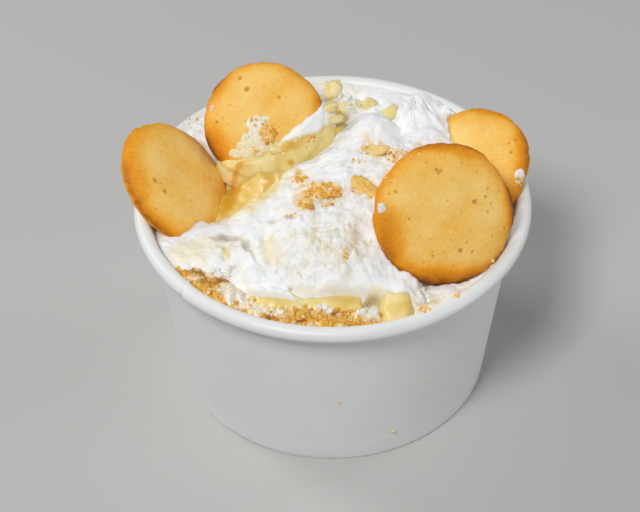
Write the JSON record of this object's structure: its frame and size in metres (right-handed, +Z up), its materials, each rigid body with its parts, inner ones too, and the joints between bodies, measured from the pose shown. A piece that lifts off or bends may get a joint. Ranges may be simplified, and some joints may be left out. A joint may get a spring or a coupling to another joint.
{
  "type": "banana pudding in a paper cup",
  "caption": "Banana pudding in a squat round paper food cup: crumb layer, custard and a whipped cream mound, with domed vanilla wafers standing half sunk in it.",
  "frame": {"origin": "Centre of the bottom of the part's box, on the surface the cup stands on. The cup's own axis is 1.36 mm towards +X, because the left wafer overhangs the rim.", "axes": "+Z up. -Y is the side that faces the viewer in the picture and +X is its right."},
  "size_m": [0.1178, 0.115, 0.0885],
  "materials": {
    "cup_paper": "smooth coated white paperboard, satin",
    "crumb": "wet golden brown biscuit crumb",
    "custard": "smooth moist pale yellow custard",
    "cream": "soft white whipped cream, slightly moist",
    "wafer": "dry baked biscuit, golden in the middle and browned at the edge"
  },
  "bodies": {
    "root": {"cup_sidewall": "cup_paper", "cup_base_disc": "cup_paper", "crumb_layer": "crumb", "custard": "custard", "whipped_cream": "cream", "wafer_left": "wafer", "wafer_back": "wafer", "wafer_front": "wafer", "wafer_right": "wafer"}
  },
  "joints": []
}
